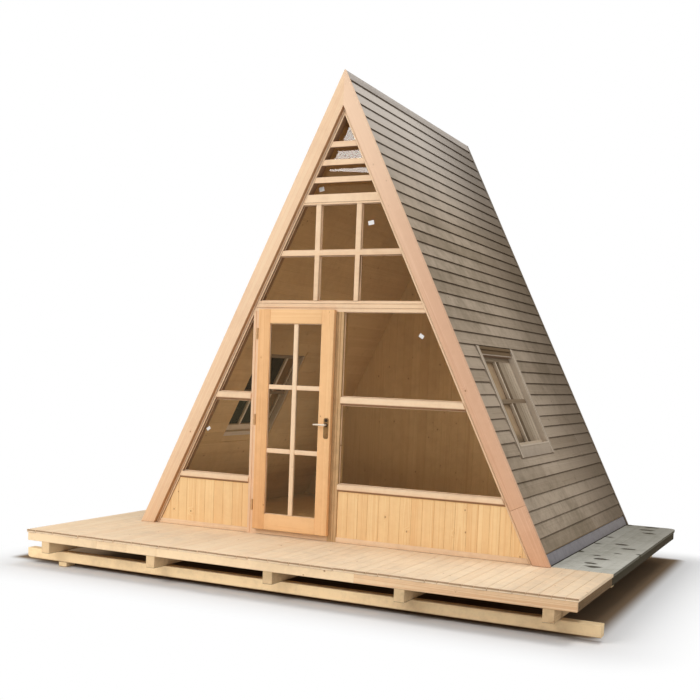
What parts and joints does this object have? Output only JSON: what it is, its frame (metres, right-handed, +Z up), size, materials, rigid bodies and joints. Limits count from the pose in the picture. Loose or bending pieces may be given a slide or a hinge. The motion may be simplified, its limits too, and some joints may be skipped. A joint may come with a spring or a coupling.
{
  "type": "a-frame cabin",
  "caption": "Small timber A-frame cabin with a glazed gable front, a framed glass door, lapped board roof sides with windows, on a raised timber deck.",
  "frame": {"origin": "middle of the footprint at ground level, under the middle packer", "axes": "+Z up, +X to the right seen from the front, front with the door faces -Y"},
  "size_m": [5.23, 4.334, 4.445],
  "materials": {
    "planed_pine": "planed softwood, oiled",
    "frame_pine": "planed softwood frame",
    "door_pine": "planed softwood, clear finish",
    "panel_pine": "tongue and groove boards",
    "clad_timber": "grey stained lapped boards",
    "window_timber": "grey stained casing",
    "lining_timber": "brown lining boards",
    "deck_timber": "sawn and planed deck boards",
    "sawn_timber": "sawn softwood, weathered",
    "glass": "clear float glass",
    "flashing_metal": "matt blue-grey strip",
    "handle_metal": "dark bronze",
    "hinge_metal": "satin steel"
  },
  "bodies": {
    "cabin": {"packers": "sawn_timber", "ground_beam_front": "sawn_timber", "ground_beam_middle": "sawn_timber", "ground_beam_back": "sawn_timber", "joists": "sawn_timber", "bearers": "sawn_timber", "end_rims": "deck_timber", "side_rims": "deck_timber", "deck_boards": "deck_timber", "roof_left": "lining_timber", "roof_right": "lining_timber", "cladding_left": "clad_timber", "cladding_right": "clad_timber", "flashings": "flashing_metal", "ridge_cap": "clad_timber", "window_casings": "window_timber", "window_glass": "glass", "bargeboard_front_left": "planed_pine", "bargeboard_front_right": "planed_pine", "bargeboard_foot_right": "planed_pine", "bargeboard_back_left": "planed_pine", "bargeboard_back_right": "planed_pine", "front_rafter_left": "frame_pine", "front_rafter_right": "frame_pine", "door_jamb": "frame_pine", "door_post": "frame_pine", "main_beam": "frame_pine", "collar_beam": "frame_pine", "mid_rails": "frame_pine", "sill_rails": "frame_pine", "sole_plates": "frame_pine", "threshold": "frame_pine", "front_panel_left": "panel_pine", "front_panel_right": "panel_pine", "window_grid": "frame_pine", "gable_rails": "frame_pine", "glass_gable": "glass", "glass_upper": "glass", "glass_sides": "glass", "back_wall": "panel_pine", "cabin_floor": "deck_timber", "hinges_frame": "hinge_metal"},
    "door": {"door_stiles": "door_pine", "door_rails": "door_pine", "door_glass": "glass", "door_handle": "handle_metal", "hinges_door": "hinge_metal"}
  },
  "joints": [
    {"name": "door_hinge", "type": "hinge", "parent": "cabin", "child": "door", "pos_m": [-0.798, -1.075, 1.386], "axis": [0, 0, -1], "range_deg": [0, 105]}
  ]
}
